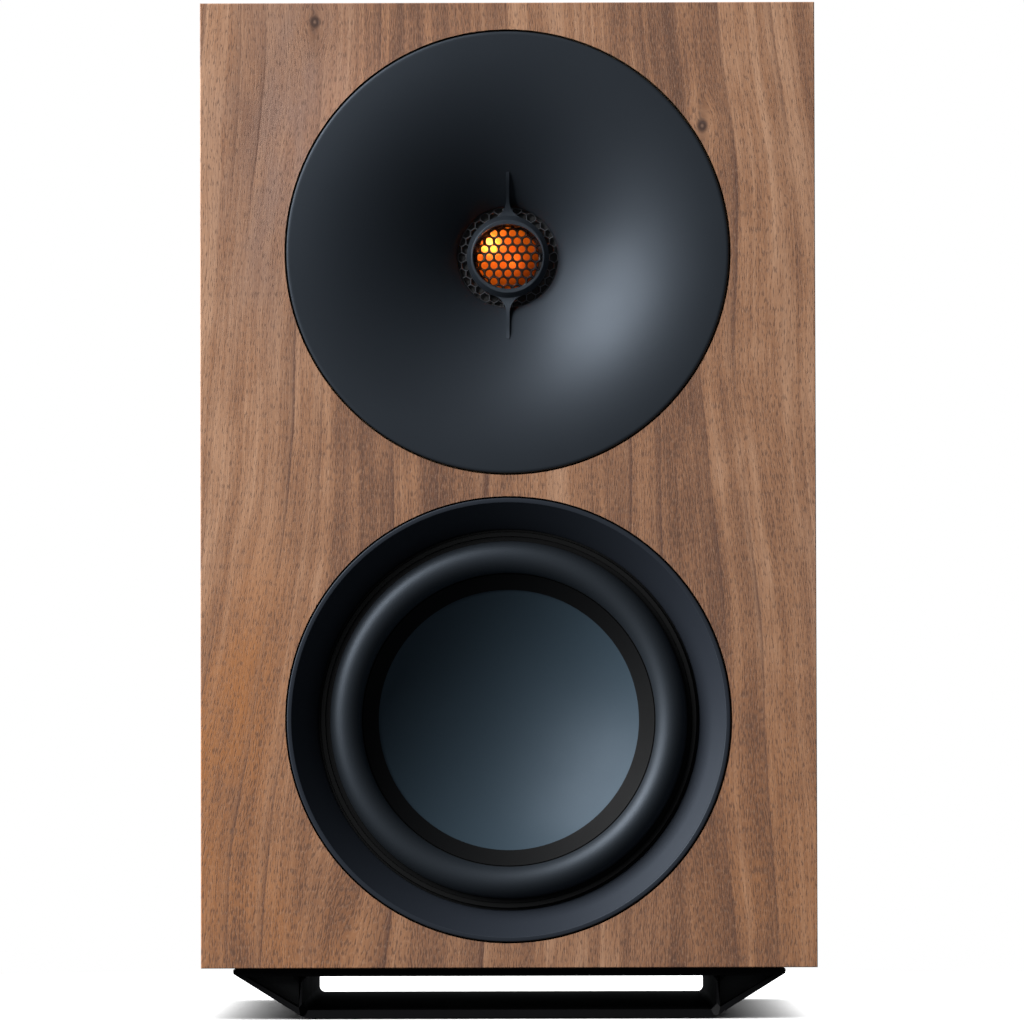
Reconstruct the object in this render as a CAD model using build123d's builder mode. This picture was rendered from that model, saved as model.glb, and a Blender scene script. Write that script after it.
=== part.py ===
"""Two-way bookshelf loudspeaker: walnut-veneered box, horn-loaded dome tweeter, dish-cone woofer, alloy foot.

Row frame in millimetres: X to the right, Y from the front baffle to the back, Z up, and the origin on the
floor under the middle of the object. Depths of the drivers are measured inwards from the front veneer's face.
"""

import os
from math import cos, hypot, radians, sin, sqrt

from build123d import *

# ---------------------------------------------------------------- driving dimensions
CABINET_W = 246.0
CABINET_H = 386.0
CABINET_D = 290.0
VENEER = 0.6
WALL = 18.0  # boards of the folded wrap and of the back
BAFFLE_T = 25.0

FOOT_H = 20.6
FOOT_TOP_W = 221.0
FOOT_BASE_W = 164.5
FOOT_D = 270.0
FOOT_PLATE = 3.0
FOOT_WEB_X = 83.1  # inner face of each upright web
FOOT_PAD = 0.6
SHADOW_GAP = 0.5  # between the foot's edge and the cabinet

WOOFER_RISE = 99.0  # driver centres above the cabinet's underside
HORN_RISE = 286.0
CUTOUT_R = 89.3  # both round openings in the front
RIM_R = 88.6  # outer edge of the horn and of the woofer's trim ring

HORN_DEPTH = 33.0
HORN_POWER = 2.3
THROAT_R = 20.3

DISH_R = 83.0  # spherical front of the woofer's cone
DISH_APEX = 37.0
DISH_EDGE_R = 58.4
CONE_T = 1.0

PORT_RISE = 300.0
PORT_R = 25.0
PORT_LENGTH = 125.0
PORT_FLARE_R = 14.0
TERMINAL_RISE = 76.0
POST_X = 14.0

LOOSE = 0.1  # clearance between pieces that are assembled dry

FRONT = -CABINET_D / 2
BACK = CABINET_D / 2
CABINET_TOP = FOOT_H + CABINET_H
WOOFER_Z = FOOT_H + WOOFER_RISE
HORN_Z = FOOT_H + HORN_RISE
PORT_Z = FOOT_H + PORT_RISE
TERMINAL_Z = FOOT_H + TERMINAL_RISE
BAFFLE_BACK = FRONT + VENEER + BAFFLE_T
BACK_PANEL_FRONT = BACK - VENEER - WALL
LINER_X = CABINET_W / 2 - VENEER - WALL
LINER_BOTTOM = FOOT_H + VENEER + WALL
LINER_TOP = CABINET_TOP - VENEER - WALL

pieces = {}


# ---------------------------------------------------------------- planes and small helpers
def facing(y, z=0.0, x=0.0):
    """Plane at y that looks to the front: local x is X, local y is Z, and it extrudes towards the front."""
    return Plane(origin=(x, y, z), x_dir=(1, 0, 0), z_dir=(0, -1, 0))


def section(z):
    """Half-section plane of a driver at height z: local x is the radius, local y the depth."""
    return Plane(origin=(0, FRONT, z), x_dir=(1, 0, 0), z_dir=(0, 0, 1))


def axis_at(z):
    """Front-to-back axis at height z."""
    return Axis((0, FRONT, z), (0, 1, 0))


def turn(z, *outline):
    """Add a round body at height z to the piece, turned from an outline of (radius, depth) points."""
    with BuildSketch(section(z)) as profile:
        with BuildLine():
            Polyline(*outline, close=True)
        make_face()
    revolve(profile.sketch, axis=axis_at(z))


def turned(z, *outline):
    """Round driver piece that is one turned body."""
    with BuildPart() as piece:
        turn(z, *outline)
    return piece


def tube(z, inner, outer, start, end):
    """Plain ring or sleeve between two depths."""
    return turned(z, (inner, start), (outer, start), (outer, end), (inner, end))


def on_circle(radius, count, first=0.0):
    """Points evenly spaced on a circle, from the angle of the first in degrees."""
    turns = [radians(first + 360.0 * i / count) for i in range(count)]
    return [(radius * cos(a), radius * sin(a)) for a in turns]


def drill(y, z, points, radius, depth):
    """Cut blind round holes from the plane at y towards the front."""
    with BuildSketch(facing(y, z)) as holes:
        with Locations(*points):
            Circle(radius)
    extrude(holes.sketch, amount=depth, mode=Mode.SUBTRACT)


def round_screws(y, z, points, radius, length, head_r, head_t):
    """Screws driven towards the front from the plane at y, with domed heads behind it."""
    with BuildPart() as screws:
        with BuildSketch(facing(y, z)):
            with Locations(*points):
                Circle(radius)
        extrude(amount=length)
        with BuildSketch(facing(y, z)):
            with Locations(*points):
                Circle(head_r)
        extrude(amount=-head_t)
        fillet(screws.faces().sort_by(Axis.Y)[-len(points):].edges(), head_t / 3)
    return screws


# ================================================================ cabinet
inner_w, inner_h = CABINET_W - 2 * VENEER, CABINET_H - 2 * VENEER
WRAP_LENGTH = BACK_PANEL_FRONT - BAFFLE_BACK
cabinet_mid_z = FOOT_H + CABINET_H / 2


def wrap_board(*corners):
    """Add one mitred board of the wrap, from its four corners as seen from the front."""
    with BuildSketch(facing(BACK_PANEL_FRONT, cabinet_mid_z)) as board:
        with BuildLine():
            Polyline(*corners, close=True)
        make_face()
    extrude(board.sketch, amount=WRAP_LENGTH)


half_w, half_h = inner_w / 2, inner_h / 2
in_w, in_h = half_w - WALL, half_h - WALL
with BuildPart() as top_panel:
    wrap_board((-half_w, half_h), (half_w, half_h), (in_w, in_h), (-in_w, in_h))
pieces["top_panel"] = top_panel
with BuildPart() as right_panel:
    wrap_board((half_w, half_h), (half_w, -half_h), (in_w, -in_h), (in_w, in_h))
pieces["right_panel"] = right_panel
with BuildPart() as left_panel:
    wrap_board((-half_w, half_h), (-half_w, -half_h), (-in_w, -in_h), (-in_w, in_h))
pieces["left_panel"] = left_panel

FOOT_SCREW_SPOTS = [(x, y) for x in (-68.0, 68.0) for y in (-105.0, 105.0)]
FOOT_SCREW_R = 2.2
FOOT_SCREW_TOP = FOOT_H + 14.0

with BuildPart() as bottom_panel:
    wrap_board((-half_w, -half_h), (half_w, -half_h), (in_w, -in_h), (-in_w, -in_h))
    with BuildSketch(Plane.XY.offset(FOOT_H)):
        with Locations(*FOOT_SCREW_SPOTS):
            Circle(FOOT_SCREW_R + LOOSE)
    extrude(amount=FOOT_SCREW_TOP - FOOT_H + LOOSE, mode=Mode.SUBTRACT)
pieces["bottom_panel"] = bottom_panel

with BuildPart() as wrap_veneer:
    with BuildSketch(facing(BACK - VENEER, cabinet_mid_z)):
        Rectangle(CABINET_W, CABINET_H)
        Rectangle(inner_w, inner_h, mode=Mode.SUBTRACT)
    extrude(amount=CABINET_D - 2 * VENEER)
    with BuildSketch(Plane.XY.offset(FOOT_H)):
        with Locations(*FOOT_SCREW_SPOTS):
            Circle(FOOT_SCREW_R + LOOSE)
    extrude(amount=VENEER, mode=Mode.SUBTRACT)
pieces["wrap_veneer"] = wrap_veneer

with BuildPart() as front_veneer:
    with BuildSketch(facing(FRONT + VENEER)):
        with Locations((0, cabinet_mid_z)):
            Rectangle(CABINET_W, CABINET_H)
        with Locations((0, WOOFER_Z), (0, HORN_Z)):
            Circle(CUTOUT_R, mode=Mode.SUBTRACT)
    extrude(amount=VENEER)
    chamfer(front_veneer.faces().sort_by(Axis.Y)[0].outer_wire().edges(), VENEER / 2)
pieces["front_veneer"] = front_veneer

HORN_FLANGE_T = 8.0  # horn's rim, let into the baffle
HORN_HOLE_R = 80.0
WOOFER_SEAT = 18.2  # depth of the shelf that the woofer's gasket lies on
WOOFER_HOLE_R = 74.0
HORN_SCREW_SPOTS = on_circle(84.5, 6)
WOOFER_SCREW_SPOTS = on_circle(82.0, 8, 22.5)

with BuildPart() as front_baffle:
    with BuildSketch(facing(BAFFLE_BACK)):
        with Locations((0, cabinet_mid_z)):
            Rectangle(inner_w, inner_h)
        with Locations((0, WOOFER_Z)):
            Circle(WOOFER_HOLE_R, mode=Mode.SUBTRACT)
        with Locations((0, HORN_Z)):
            Circle(HORN_HOLE_R, mode=Mode.SUBTRACT)
    extrude(amount=BAFFLE_T)
    for seat_z, seat_depth in ((WOOFER_Z, WOOFER_SEAT), (HORN_Z, HORN_FLANGE_T)):
        with BuildSketch(facing(FRONT + seat_depth, seat_z)):
            Circle(CUTOUT_R)
        extrude(amount=seat_depth, mode=Mode.SUBTRACT)
    drill(BAFFLE_BACK, HORN_Z, HORN_SCREW_SPOTS, 2.1, BAFFLE_T)
    drill(FRONT + WOOFER_SEAT + 5.6, WOOFER_Z, WOOFER_SCREW_SPOTS, 1.9, 6.0)
pieces["front_baffle"] = front_baffle

CUP_W, CUP_H = 76.0, 52.0  # mouth of the terminal cup
CUP_FLANGE = 9.0
CUP_FLANGE_T = 2.5
CUP_DEPTH = 24.0
CUP_WALL = 2.5
PORT_FLANGE_R = 42.0
PORT_WALL = 2.5
PORT_FLANGE_T = 2.5
GASKET_FILM = 0.6
cup_outer_w, cup_outer_h = CUP_W + 2 * CUP_FLANGE, CUP_H + 2 * CUP_FLANGE
cup_hole_w, cup_hole_h = CUP_W + 2 * (CUP_WALL + LOOSE), CUP_H + 2 * (CUP_WALL + LOOSE)
CUP_SCREW_SPOTS = [(x, z) for x in (-42.7, 42.7) for z in (-30.6, 30.6)]


def rear_openings():
    """Cut the flush seats and the through holes of the terminal cup and the port."""
    with BuildSketch(facing(BACK)) as seats:
        with Locations((0, TERMINAL_Z)):
            RectangleRounded(cup_outer_w + 2 * LOOSE, cup_outer_h + 2 * LOOSE, 8)
        with Locations((0, PORT_Z)):
            Circle(PORT_FLANGE_R + LOOSE)
    extrude(seats.sketch, amount=CUP_FLANGE_T + GASKET_FILM, mode=Mode.SUBTRACT)
    with BuildSketch(facing(BACK)) as holes:
        with Locations((0, TERMINAL_Z)):
            RectangleRounded(cup_hole_w, cup_hole_h, 6)
        with Locations((0, PORT_Z)):
            Circle(PORT_R + 11.5)
    extrude(holes.sketch, amount=WALL + VENEER, mode=Mode.SUBTRACT)


with BuildPart() as back_panel:
    with BuildSketch(facing(BACK - VENEER, cabinet_mid_z)):
        Rectangle(inner_w, inner_h)
    extrude(amount=WALL)
    rear_openings()
    drill(BACK - VENEER, TERMINAL_Z, CUP_SCREW_SPOTS, 1.6, 14.0)
pieces["back_panel"] = back_panel

with BuildPart() as back_veneer:
    with BuildSketch(facing(BACK, cabinet_mid_z)):
        Rectangle(CABINET_W, CABINET_H)
    extrude(amount=VENEER)
    rear_openings()
    chamfer(back_veneer.faces().sort_by(Axis.Y)[-1].outer_wire().edges(), VENEER / 2)
pieces["back_veneer"] = back_veneer

BRACE_Y = -30.0
BRACE_T = 12.0
with BuildPart() as window_brace:
    with BuildSketch(facing(BRACE_Y, cabinet_mid_z)):
        Rectangle(2 * LINER_X - LOOSE, LINER_TOP - LINER_BOTTOM - LOOSE)
        with GridLocations(0, 168, 1, 2):
            RectangleRounded(150, 132, 30, mode=Mode.SUBTRACT)
    extrude(amount=BRACE_T)
pieces["window_brace"] = window_brace

WADDING_T = 12.0
WADDING_DROP = 300.0  # how far it hangs down each side
WADDING_FRONT, WADDING_BACK = -24.0, 96.0
hung = (Align.CENTER, Align.MAX)
with BuildPart() as damping_wadding:
    with BuildSketch(facing(WADDING_BACK)):
        with Locations((0, LINER_TOP - LOOSE)):
            Rectangle(2 * (LINER_X - LOOSE), WADDING_DROP, align=hung)
        with Locations((0, LINER_TOP - WADDING_T)):
            Rectangle(2 * (LINER_X - WADDING_T), WADDING_DROP, align=hung, mode=Mode.SUBTRACT)
    extrude(amount=WADDING_BACK - WADDING_FRONT)
pieces["damping_wadding"] = damping_wadding


# ================================================================ horn and tweeter
TWEETER_FACE = 36.0  # depth of the plane where the tweeter meets the horn
THROAT_BOSS_R = 38.0
HORN_SHELL = 4.0
HORN_FLANGE_IN = 79.6
TWEETER_SCREW_SPOTS = on_circle(33.5, 4, 45)


def flare(radius):
    """Depth of the horn's front surface at a radius."""
    return HORN_DEPTH * (max(RIM_R - radius, 0) / (RIM_R - THROAT_R)) ** HORN_POWER


def flare_curve(outer, inner, behind, steps=9):
    """Points of the horn's curve, moved back by a wall thickness."""
    radii = [outer + (inner - outer) * i / steps for i in range(steps + 1)]
    return [(r, flare(r) + behind) for r in radii]


with BuildPart() as waveguide:
    with BuildSketch(section(HORN_Z)):
        with BuildLine():
            front_curve = Spline(*flare_curve(RIM_R - 0.6, THROAT_R, 0))
            back_curve = Spline(*flare_curve(THROAT_BOSS_R, HORN_FLANGE_IN - 4, HORN_SHELL))
            Polyline(front_curve @ 1, (THROAT_R, TWEETER_FACE), (THROAT_BOSS_R, TWEETER_FACE), back_curve @ 0)
            Polyline(back_curve @ 1, (HORN_FLANGE_IN, HORN_FLANGE_T), (RIM_R, HORN_FLANGE_T), (RIM_R, 0.5),
                     front_curve @ 0)
        make_face()
    revolve(axis=axis_at(HORN_Z))
    drill(FRONT + HORN_FLANGE_T, HORN_Z, HORN_SCREW_SPOTS, 1.9, 5.0)
    drill(FRONT + TWEETER_FACE, HORN_Z, TWEETER_SCREW_SPOTS, 1.6, 9.0)
pieces["waveguide"] = waveguide

pieces["waveguide_screws"] = round_screws(
    BAFFLE_BACK, HORN_Z, HORN_SCREW_SPOTS, 1.8, BAFFLE_BACK - FRONT - HORN_FLANGE_T + 4.5, 4.0, 2.4)

CELL_PITCH = 3.76
CELL_WEB = 0.56
GRILLE_T = 1.4
GRILLE_RIM = 34.0  # depth of the grille's flat annulus
GRILLE_CROWN = 30.9
GRILLE_DOME_R = 14.6


def honeycomb(pitch, reach):
    """Centres of a triangular grid of cells, one of them on the axis, out to a radius."""
    rows = range(-int(reach / pitch) - 3, int(reach / pitch) + 4)
    grid = [(pitch * (q + r / 2), pitch * r * sqrt(3) / 2) for q in rows for r in rows]
    return [point for point in grid if hypot(*point) < reach]


with BuildPart() as honeycomb_grille:
    with BuildSketch(section(HORN_Z)):
        with BuildLine():
            crown = ThreePointArc((0, GRILLE_CROWN), (GRILLE_DOME_R * 0.55, GRILLE_CROWN + 0.75),
                                  (GRILLE_DOME_R, GRILLE_RIM))
            Polyline(crown @ 1, (THROAT_R - LOOSE, GRILLE_RIM), (THROAT_R - LOOSE, TWEETER_FACE),
                     (THROAT_R - 1.2, TWEETER_FACE), (THROAT_R - 1.2, GRILLE_RIM + GRILLE_T),
                     (GRILLE_DOME_R - 0.6, GRILLE_RIM + GRILLE_T))
            hollow = ThreePointArc((GRILLE_DOME_R - 0.6, GRILLE_RIM + GRILLE_T),
                                   (GRILLE_DOME_R * 0.55, GRILLE_CROWN + 0.75 + GRILLE_T),
                                   (0, GRILLE_CROWN + GRILLE_T))
            Line(hollow @ 1, crown @ 0)
        make_face()
    revolve(axis=axis_at(HORN_Z))
    with BuildSketch(facing(FRONT + TWEETER_FACE, HORN_Z)):
        with Locations(*honeycomb(CELL_PITCH, THROAT_R + 1)):
            RegularPolygon((CELL_PITCH - CELL_WEB) / sqrt(3), 6, rotation=30)
        Circle(THROAT_R - 1.0, mode=Mode.INTERSECT)
    extrude(amount=8, mode=Mode.SUBTRACT)
pieces["honeycomb_grille"] = honeycomb_grille

EYE_R = 16.6
EYE_OPENING = (14.2, 13.1)
FIN_W = 1.3
FIN_TIP_R = 33.6
EYE_FRONT = 27.0
EYE_RIDGE_R = 14.6  # where the ring stands highest
EYE_BACK = 33.0

with BuildPart() as phase_ring:
    with BuildSketch(facing(FRONT + TWEETER_FACE, HORN_Z)) as eye:
        Rectangle(FIN_W, 2 * FIN_TIP_R)
        Circle(EYE_R)
        fillet(eye.vertices().filter_by(lambda corner: abs(corner.Y) < EYE_R + 1), 7.5)
        Ellipse(*EYE_OPENING, mode=Mode.SUBTRACT)
    extrude(amount=18)
    with BuildSketch(section(HORN_Z)):
        with BuildLine():
            seat_curve = Spline(*flare_curve(FIN_TIP_R + 0.4, THROAT_R, -0.1, 5))
            Polyline(seat_curve @ 1, (THROAT_R, EYE_BACK), (0, EYE_BACK), (0, EYE_FRONT),
                     (EYE_RIDGE_R - 0.3, EYE_FRONT))
            RadiusArc((EYE_RIDGE_R - 0.3, EYE_FRONT), (EYE_RIDGE_R + 0.3, EYE_FRONT + 0.2), -0.6)
            Line((EYE_RIDGE_R + 0.3, EYE_FRONT + 0.2), (EYE_R, EYE_FRONT + 2.3))
            Spline((EYE_R, EYE_FRONT + 2.3), (FIN_TIP_R - 10, flare(FIN_TIP_R - 10) - 2.6),
                   (FIN_TIP_R - 4, flare(FIN_TIP_R - 4) - 1.6), seat_curve @ 0)
        make_face()
    revolve(axis=axis_at(HORN_Z), mode=Mode.INTERSECT)
pieces["phase_ring"] = phase_ring

DOME_R = 12.7
DOME_BASE = 38.0
DOME_APEX = 33.6
FILM = 0.3
COIL_GAP_R = 12.4  # middle of the tweeter's magnetic gap


def shell_arc(start, middle, end, thickness):
    """Sheet of even thickness bent along an arc through three points of the section plane."""
    with BuildLine() as sheet:
        ThreePointArc(start, middle, end)
        offset(amount=thickness / 2, side=Side.BOTH)
    make_face(sheet.edges())


def dome_depth(radius):
    """Depth of the tweeter's spherical dome at a radius."""
    rise = DOME_BASE - DOME_APEX
    sphere = (DOME_R ** 2 + rise ** 2) / (2 * rise)
    return DOME_APEX + sphere - sqrt(sphere ** 2 - radius ** 2)


with BuildPart() as tweeter_dome:
    with BuildSketch(section(HORN_Z)):
        shell_arc((0.0, DOME_APEX), (DOME_R * 0.6, dome_depth(DOME_R * 0.6)), (DOME_R - 0.4, DOME_BASE), FILM)
        with Locations((0, DOME_BASE)):
            Rectangle(DOME_R, DOME_R, align=(Align.MIN, Align.CENTER), mode=Mode.INTERSECT)
    revolve(axis=axis_at(HORN_Z))
pieces["tweeter_dome"] = tweeter_dome

with BuildPart() as tweeter_surround:
    with BuildSketch(section(HORN_Z)):
        shell_arc((DOME_R + 0.2, DOME_BASE), (DOME_R + 1.4, DOME_BASE - 1.2), (DOME_R + 2.6, DOME_BASE), FILM)
    revolve(axis=axis_at(HORN_Z))
pieces["tweeter_surround"] = tweeter_surround

pieces["tweeter_former"] = tube(HORN_Z, COIL_GAP_R - 0.2, COIL_GAP_R, DOME_BASE + FILM, 47.5)
pieces["tweeter_coil"] = tube(HORN_Z, COIL_GAP_R, COIL_GAP_R + 0.4, 43.0, 46.4)

with BuildPart() as tweeter_faceplate:
    turn(HORN_Z, (DOME_R + 2.9, TWEETER_FACE), (THROAT_BOSS_R, TWEETER_FACE), (THROAT_BOSS_R, 41.0),
         (31.0, 41.0), (31.0, 42.0), (DOME_R + 1.2, 42.0), (DOME_R + 1.2, DOME_BASE + 0.4),
         (DOME_R + 2.9, DOME_BASE + 0.4))
    drill(FRONT + 42, HORN_Z, TWEETER_SCREW_SPOTS, 1.7, 7.0)
pieces["tweeter_faceplate"] = tweeter_faceplate
pieces["tweeter_top_plate"] = tube(HORN_Z, COIL_GAP_R + 1.0, 28.0, 42.0, 46.0)
pieces["tweeter_magnet"] = tube(HORN_Z, 17.0, 30.0, 46.0, 56.0)
pieces["tweeter_yoke"] = turned(
    HORN_Z, (3, 42.4), (COIL_GAP_R - 0.7, 42.4), (COIL_GAP_R - 0.7, 56), (28, 56), (28, 61), (3, 61))
pieces["tweeter_rear_cup"] = turned(
    HORN_Z, (0, 83), (24, 83), (26, 81), (26, 61), (23.5, 61), (23.5, 79.5), (22.5, 80.5), (0, 80.5))
pieces["tweeter_screws"] = round_screws(FRONT + 41, HORN_Z, TWEETER_SCREW_SPOTS, 1.5, 12.5, 2.3, 1.8)

# ================================================================ woofer
TRIM_DEPTH = 14.2
FLANGE_FACE = 14.4  # depth of the basket flange's face
GASKET_T = 1.4
LAND_DEPTH = 12.9  # middle of the surround's outer land
ROLL_OUT, ROLL_IN, ROLL_TOP = 71.4, 59.0, 6.3
BASKET_SEAT = 50.0  # depth of the basket's motor seat
PLATE_R = 50.0
FORMER_R = 19.0
SPIDER_DEPTH = 44.0

with BuildPart() as woofer_trim_ring:
    with BuildSketch(section(WOOFER_Z)):
        with BuildLine():
            Polyline((RIM_R, TRIM_DEPTH), (RIM_R, 0.5), (RIM_R - 0.5, 0), (87.3, 0.15), (86.8, 0.8),
                     (76.8, 13.2))
            TangentArc((76.8, 13.2), (76.3, TRIM_DEPTH), tangent=(-10, 12.4))
            Line((76.3, TRIM_DEPTH), (RIM_R, TRIM_DEPTH))
        make_face()
    revolve(axis=axis_at(WOOFER_Z))
pieces["woofer_trim_ring"] = woofer_trim_ring

with BuildPart() as woofer_gasket:
    turn(WOOFER_Z, (75.0, WOOFER_SEAT - GASKET_T), (87.0, WOOFER_SEAT - GASKET_T), (87.0, WOOFER_SEAT),
         (75.0, WOOFER_SEAT))
    drill(FRONT + WOOFER_SEAT, WOOFER_Z, WOOFER_SCREW_SPOTS, 2.2, GASKET_T)
pieces["woofer_gasket"] = woofer_gasket

with BuildPart() as woofer_basket:
    turn(WOOFER_Z, (71.0, FLANGE_FACE - 1.2), (73.6, FLANGE_FACE - 1.2), (73.6, 12.2), (75.2, 12.2),
         (75.6, FLANGE_FACE), (87.0, FLANGE_FACE), (87.0, WOOFER_SEAT - GASKET_T),
         (73.0, WOOFER_SEAT - GASKET_T), (73.0, 20.0), (55.0, 42.0), (55.0, BASKET_SEAT), (PLATE_R, 54.0),
         (24.0, 54.0), (24.0, BASKET_SEAT + 1), (46.0, BASKET_SEAT + 1), (46.0, SPIDER_DEPTH + 0.4),
         (52.0, SPIDER_DEPTH + 0.4), (52.0, 41.0), (69.0, 20.0))
    with BuildSketch(facing(FRONT + 46, WOOFER_Z)):
        Circle(100)
        Circle(53, mode=Mode.SUBTRACT)
        for spoke in range(6):
            with Locations(Location((0, 0), 60 * spoke)):
                Rectangle(100, 11, align=(Align.MIN, Align.CENTER), mode=Mode.SUBTRACT)
    extrude(amount=23, mode=Mode.SUBTRACT)
    drill(FRONT + WOOFER_SEAT - GASKET_T, WOOFER_Z, WOOFER_SCREW_SPOTS, 2.2, 2.4)
pieces["woofer_basket"] = woofer_basket

with BuildPart() as woofer_screws:
    with BuildSketch(facing(FRONT + FLANGE_FACE + 0.1, WOOFER_Z)):
        with Locations(*WOOFER_SCREW_SPOTS):
            Circle(2.1)
    extrude(amount=-2.4)
    with BuildSketch(facing(FRONT + FLANGE_FACE + 2.4, WOOFER_Z)):
        with Locations(*WOOFER_SCREW_SPOTS):
            Circle(1.8)
    extrude(amount=-6.6)
pieces["woofer_screws"] = woofer_screws


def dish(radius):
    """Depth of the spherical front of the woofer's cone."""
    return DISH_APEX - DISH_R + sqrt(DISH_R ** 2 - radius ** 2)


RUBBER = 0.6
FLANGE_IN = 52.4


def above_dish(radius):
    """Depth of the middle of a rubber sheet that lies on the cone's front."""
    return dish(radius) - RUBBER / 2 / sqrt(1 - (radius / DISH_R) ** 2)


with BuildPart() as woofer_surround:
    with BuildSketch(section(WOOFER_Z)):
        with BuildLine():
            valley = (DISH_EDGE_R, above_dish(DISH_EDGE_R))
            land = Line((73.3, LAND_DEPTH), (71.8, LAND_DEPTH))
            shoulder = TangentArc(land @ 1, (ROLL_OUT, LAND_DEPTH - 0.5), tangent=(-1, 0))
            crest = ((ROLL_OUT + ROLL_IN) / 2, ROLL_TOP)
            roll = ThreePointArc(shoulder @ 1, crest, (ROLL_IN, LAND_DEPTH - 0.5))
            Line(roll @ 1, valley)
            middle_r = (DISH_EDGE_R + FLANGE_IN) / 2
            ThreePointArc(valley, (middle_r, above_dish(middle_r)), (FLANGE_IN, above_dish(FLANGE_IN)))
            offset(amount=RUBBER / 2 - 0.02, side=Side.BOTH)
        make_face()
    revolve(axis=axis_at(WOOFER_Z))
pieces["woofer_surround"] = woofer_surround

with BuildPart() as woofer_cone:
    with BuildSketch(section(WOOFER_Z)):
        with BuildLine():
            half_r = DISH_EDGE_R * 0.55
            rim = (DISH_EDGE_R, dish(DISH_EDGE_R))
            rear_rim = (DISH_EDGE_R, dish(DISH_EDGE_R) + CONE_T)
            face_arc = ThreePointArc((0, DISH_APEX), (half_r, dish(half_r)), rim)
            Line(rim, rear_rim)
            rear_arc = ThreePointArc(rear_rim, (half_r, dish(half_r) + CONE_T), (0, DISH_APEX + CONE_T))
            Line(rear_arc @ 1, face_arc @ 0)
        make_face()
    revolve(axis=axis_at(WOOFER_Z))
pieces["woofer_cone"] = woofer_cone

neck = dish(FORMER_R) + CONE_T + 0.1
pieces["woofer_former"] = tube(WOOFER_Z, FORMER_R, FORMER_R + 0.3, neck, 66.0)
pieces["woofer_coil"] = tube(WOOFER_Z, FORMER_R + 0.3, FORMER_R + 1.1, 51.0, 63.0)

SPIDER_WAVES = 10
SPIDER_IN, SPIDER_OUT = FORMER_R + 0.6, 51.5
SPIDER_LAND = 4.0
wave = (SPIDER_OUT - SPIDER_LAND - SPIDER_IN) / SPIDER_WAVES
with BuildPart() as woofer_spider:
    with BuildSketch(section(WOOFER_Z)):
        with BuildLine():
            for ripple in range(SPIDER_WAVES):
                near, far = SPIDER_IN + wave * ripple, SPIDER_IN + wave * (ripple + 1)
                crest = SPIDER_DEPTH + (1.0, -1.0)[ripple % 2]
                ThreePointArc((near, SPIDER_DEPTH), ((near + far) / 2, crest), (far, SPIDER_DEPTH))
            Line((SPIDER_OUT - SPIDER_LAND, SPIDER_DEPTH), (SPIDER_OUT, SPIDER_DEPTH))
            offset(amount=0.25, side=Side.BOTH)
        make_face()
    revolve(axis=axis_at(WOOFER_Z))
pieces["woofer_spider"] = woofer_spider

pieces["woofer_top_plate"] = tube(WOOFER_Z, FORMER_R + 1.6, PLATE_R, 54.0, 60.0)
pieces["woofer_magnet"] = tube(WOOFER_Z, 28.0, 52.0, 60.0, 76.0)
pieces["woofer_yoke"] = turned(
    WOOFER_Z, (6, 53), (FORMER_R - 0.6, 53), (FORMER_R - 0.6, 76), (48, 76), (PLATE_R, 78), (PLATE_R, 82),
    (9, 82), (6, 79))

WOOFER_TAG = Plane(origin=(-62, FRONT + 46, WOOFER_Z), x_dir=(0, 0, 1), z_dir=(-1, 0, 0))
with BuildPart() as woofer_terminals:
    with BuildSketch(WOOFER_TAG):
        RectangleRounded(26, 8, 1.5)
    extrude(amount=2)
    with BuildSketch(WOOFER_TAG.offset(2)):
        with GridLocations(14, 0, 2, 1):
            Rectangle(4.8, 0.8)
    extrude(amount=8)
pieces["woofer_terminals"] = woofer_terminals

# ================================================================ terminal cup, posts and port
CUP_FLOOR = BACK - CUP_DEPTH
with BuildPart() as terminal_cup:
    with BuildSketch(facing(BACK, TERMINAL_Z)):
        RectangleRounded(cup_outer_w, cup_outer_h, 8)
    extrude(amount=CUP_FLANGE_T)
    with BuildSketch(facing(BACK, TERMINAL_Z)):
        RectangleRounded(CUP_W + 2 * CUP_WALL, CUP_H + 2 * CUP_WALL, 6)
    extrude(amount=CUP_DEPTH + CUP_WALL)
    with BuildSketch(facing(BACK, TERMINAL_Z)):
        RectangleRounded(CUP_W, CUP_H, 5)
    extrude(amount=CUP_DEPTH, mode=Mode.SUBTRACT)
    fillet(terminal_cup.faces().sort_by(Axis.Y)[-1].edges(), 0.8)
    drill(BACK, TERMINAL_Z, [(-POST_X, 0), (POST_X, 0)], 2.6, CUP_DEPTH + CUP_WALL)
    drill(BACK, TERMINAL_Z, CUP_SCREW_SPOTS, 1.7, CUP_FLANGE_T)
    drill(BACK, TERMINAL_Z, CUP_SCREW_SPOTS, 3.1, 1.6)
pieces["terminal_cup"] = terminal_cup

with BuildPart() as terminal_gasket:
    with BuildSketch(facing(BACK - CUP_FLANGE_T, TERMINAL_Z)):
        RectangleRounded(cup_outer_w, cup_outer_h, 8)
        RectangleRounded(cup_hole_w, cup_hole_h, 6, mode=Mode.SUBTRACT)
        with Locations(*CUP_SCREW_SPOTS):
            Circle(1.7, mode=Mode.SUBTRACT)
    extrude(amount=0.6)
pieces["terminal_gasket"] = terminal_gasket
pieces["terminal_screws"] = round_screws(BACK - 1.6, TERMINAL_Z, CUP_SCREW_SPOTS, 1.5, 12.0, 2.9, 1.4)

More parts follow.
